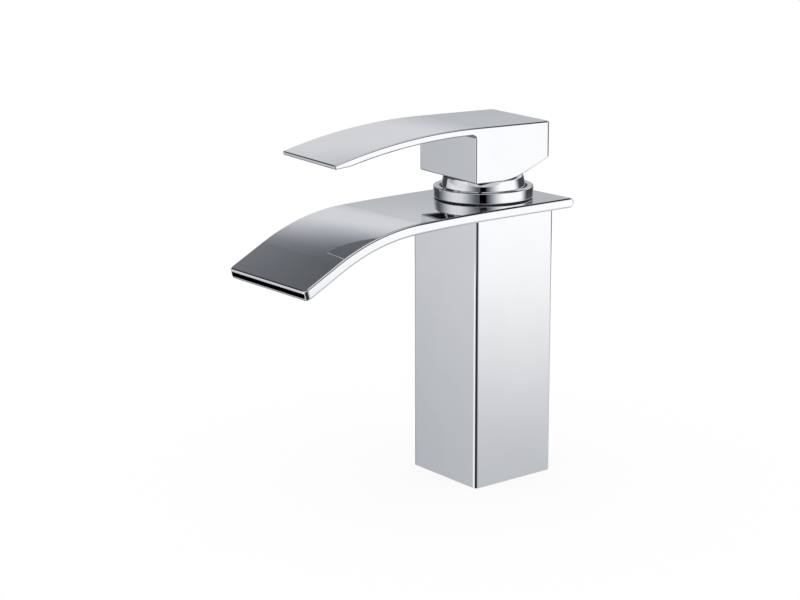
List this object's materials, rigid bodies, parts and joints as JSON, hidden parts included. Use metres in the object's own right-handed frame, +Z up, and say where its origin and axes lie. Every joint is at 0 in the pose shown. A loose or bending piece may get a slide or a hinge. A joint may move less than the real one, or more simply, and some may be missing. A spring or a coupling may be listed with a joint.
{
  "type": "waterfall basin faucet",
  "caption": "Square-column basin mixer with a wide curved waterfall spout and a flat, bowed single lever in polished chrome.",
  "frame": {"origin": "centre of the square column's foot, on the basin deck", "axes": "+Z up; the spout runs towards -Y; +X is the cold side"},
  "size_m": [0.0633, 0.1519, 0.1682],
  "materials": {
    "polished_chrome": "polished",
    "brass": "machined",
    "steel": "satin",
    "rubber": "matte",
    "ceramic": "lapped ceramic",
    "cartridge_plastic": "moulded",
    "limit_plastic": "moulded",
    "plug_plastic": "plated"
  },
  "bodies": {
    "faucet_body": {"column_shell": "polished_chrome", "spout_pan": "polished_chrome", "spout_cover": "polished_chrome", "collar_ring": "polished_chrome", "dome_cap": "polished_chrome", "foot_plate": "brass", "hot_riser": "brass", "cold_riser": "brass", "valve_block": "brass", "cartridge_nut": "brass", "foot_seal": "rubber", "riser_o_rings": "rubber", "passage_o_rings": "rubber", "collar_gasket": "rubber", "port_seals": "rubber", "disc_gasket": "rubber", "cartridge_base": "cartridge_plastic", "cartridge_shell": "cartridge_plastic", "thrust_ring": "cartridge_plastic", "fixed_disc": "ceramic", "limit_ring": "limit_plastic"},
    "core": {"turning_core": "cartridge_plastic", "spindle_pin": "steel"},
    "disc": {"disc_carrier": "cartridge_plastic", "moving_disc": "ceramic"},
    "lever": {"handle": "polished_chrome", "grub_screw": "steel", "index_plug": "plug_plastic", "spindle": "brass"}
  },
  "joints": [
    {"name": "mix_turn", "type": "hinge", "parent": "faucet_body", "child": "core", "pos_m": [0, 0, 0.13495], "axis": [0, 0, 1], "range_deg": [-38.42, 51.58]},
    {"name": "flow_lift", "type": "hinge", "parent": "core", "child": "lever", "pos_m": [0, 0, 0.13495], "axis": [-0.9934, 0.1146, 0], "range_deg": [0, 22]},
    {"name": "disc_slide", "type": "slide", "parent": "core", "child": "disc", "axis": [-0.1146, -0.9934, 0], "range_m": [0, 0.0042]}
  ],
  "couplings": [
    {"joint": "disc_slide", "follows": "flow_lift", "m_per_rad": 0.010732}
  ]
}
